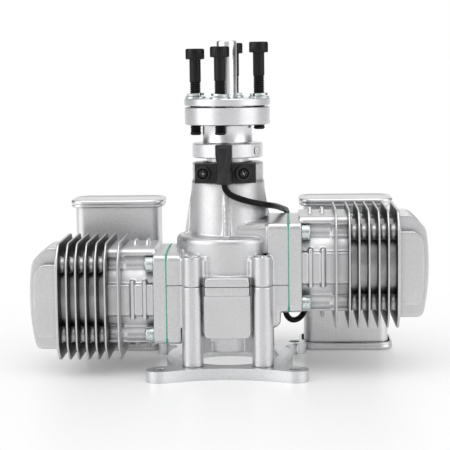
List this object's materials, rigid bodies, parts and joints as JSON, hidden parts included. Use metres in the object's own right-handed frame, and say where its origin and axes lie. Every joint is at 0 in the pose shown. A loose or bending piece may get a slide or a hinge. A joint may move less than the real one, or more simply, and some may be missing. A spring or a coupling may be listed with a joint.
{
  "type": "flat aircraft engine",
  "caption": "Small flat two-stroke petrol engine for model aircraft, standing on its mounting plate with the propeller hub up, finned cylinders, mufflers and carburettor.",
  "frame": {"origin": "on the crank axis at the underside of the mounting plate", "axes": "+Z along the propeller shaft, +X towards the higher cylinder, +Y towards the carburettor and mufflers"},
  "size_m": [0.2098, 0.1398, 0.174],
  "materials": {
    "cast_aluminium": "bead-blasted cast aluminium",
    "fin_aluminium": "bead-blasted cast aluminium, duller between the fins",
    "turned_aluminium": "turned, satin",
    "plate_aluminium": "milled plate, satin",
    "sheet_aluminium": "pressed sheet, satin",
    "zinc_steel": "zinc plated, slightly blue",
    "black_steel": "black oxide, satin",
    "ground_steel": "ground steel",
    "stud_steel": "turned steel, bright",
    "race_steel": "bearing steel",
    "gasket_green": "coated fibre gasket, emerald green",
    "seal_rubber": "black rubber, matte",
    "sensor_plastic": "black moulding, slight grain",
    "cord_sheath": "black sheath, soft sheen",
    "plug_plastic": "black connector",
    "magnet": "nickel plated",
    "insulator_ceramic": "white glazed ceramic",
    "brass": "turned brass",
    "petal": "carbon fibre sheet",
    "insulator_block": "phenolic block",
    "piston_aluminium": "machined"
  },
  "bodies": {
    "engine_case": {"front_crankcase": "cast_aluminium", "rear_crankcase": "cast_aluminium", "mounting_plate": "plate_aluminium", "mounting_plate_screws": "zinc_steel", "crankcase_bolts": "zinc_steel", "main_bearing_outer_races": "race_steel", "front_oil_seal": "seal_rubber", "hall_sensor": "sensor_plastic", "sensor_screws": "black_steel", "sensor_cord": "cord_sheath", "sensor_plug": "plug_plastic", "left_cylinder": "fin_aluminium", "right_cylinder": "fin_aluminium", "gaskets": "gasket_green", "cylinder_base_screws": "zinc_steel", "cylinder_fins": "fin_aluminium", "head_fins": "fin_aluminium", "left_muffler_body": "sheet_aluminium", "right_muffler_body": "sheet_aluminium", "muffler_caps": "sheet_aluminium", "muffler_screws": "zinc_steel", "outlet_pipes": "sheet_aluminium", "spark_plug_shells": "zinc_steel", "spark_plug_insulators": "insulator_ceramic", "spark_plug_terminals": "zinc_steel", "reed_block": "piston_aluminium", "reed_petals": "petal", "intake_insulator": "insulator_block", "carburettor_body": "piston_aluminium", "carburettor_covers": "piston_aluminium", "carburettor_screws": "zinc_steel", "fuel_nipple": "brass", "mixture_screws": "brass"},
    "crank": {"crankshaft": "ground_steel", "main_bearing_inner_races": "race_steel", "prop_hub": "turned_aluminium", "timing_magnet": "magnet", "prop_washer": "turned_aluminium", "prop_bolts": "black_steel", "lock_washers": "zinc_steel", "flat_washers": "zinc_steel", "prop_stud": "stud_steel"},
    "throttle": {"throttle_shaft": "zinc_steel", "throttle_plate": "brass"},
    "choke": {"choke_shaft": "zinc_steel", "choke_plate": "brass"},
    "left_piston_group": {"left_piston": "piston_aluminium", "left_piston_ring": "race_steel", "left_wrist_pin": "ground_steel", "left_pin_circlips": "black_steel"},
    "left_rod_group": {"left_conrod": "ground_steel", "left_crankpin": "ground_steel", "left_rod_bearings": "race_steel"},
    "right_piston_group": {"right_piston": "piston_aluminium", "right_piston_ring": "race_steel", "right_wrist_pin": "ground_steel", "right_pin_circlips": "black_steel"},
    "right_rod_group": {"right_conrod": "ground_steel", "right_crankpin": "ground_steel", "right_rod_bearings": "race_steel"}
  },
  "joints": [
    {"name": "crank_spin", "type": "hinge", "parent": "engine_case", "child": "crank", "pos_m": [0, 0, 0.06], "axis": [0, 0, 1], "continuous": true},
    {"name": "right_piston_slide", "type": "slide", "parent": "engine_case", "child": "right_piston_group", "axis": [-1, 0, 0], "range_m": [0, 0.026]},
    {"name": "left_piston_slide", "type": "slide", "parent": "engine_case", "child": "left_piston_group", "axis": [1, 0, 0], "range_m": [0, 0.026]},
    {"name": "right_rod_swing", "type": "hinge", "parent": "right_piston_group", "child": "right_rod_group", "pos_m": [0.0665, 0, 0.0563], "axis": [0, 0, 1], "range_deg": [-14.06, 14.06]},
    {"name": "left_rod_swing", "type": "hinge", "parent": "left_piston_group", "child": "left_rod_group", "pos_m": [-0.0665, 0, 0.04], "axis": [0, 0, 1], "range_deg": [-14.06, 14.06]},
    {"name": "throttle_turn", "type": "hinge", "parent": "engine_case", "child": "throttle", "pos_m": [0, 0.0579, 0.035], "axis": [1, 0, 0], "range_deg": [0, 80]},
    {"name": "choke_turn", "type": "hinge", "parent": "engine_case", "child": "choke", "pos_m": [0, 0.0775, 0.035], "axis": [1, 0, 0], "range_deg": [0, 75]}
  ],
  "couplings": [
    {"joint": "left_piston_slide", "follows": "right_piston_slide", "ratio": 1},
    {"joint": "left_rod_swing", "follows": "right_rod_swing", "ratio": 1}
  ]
}
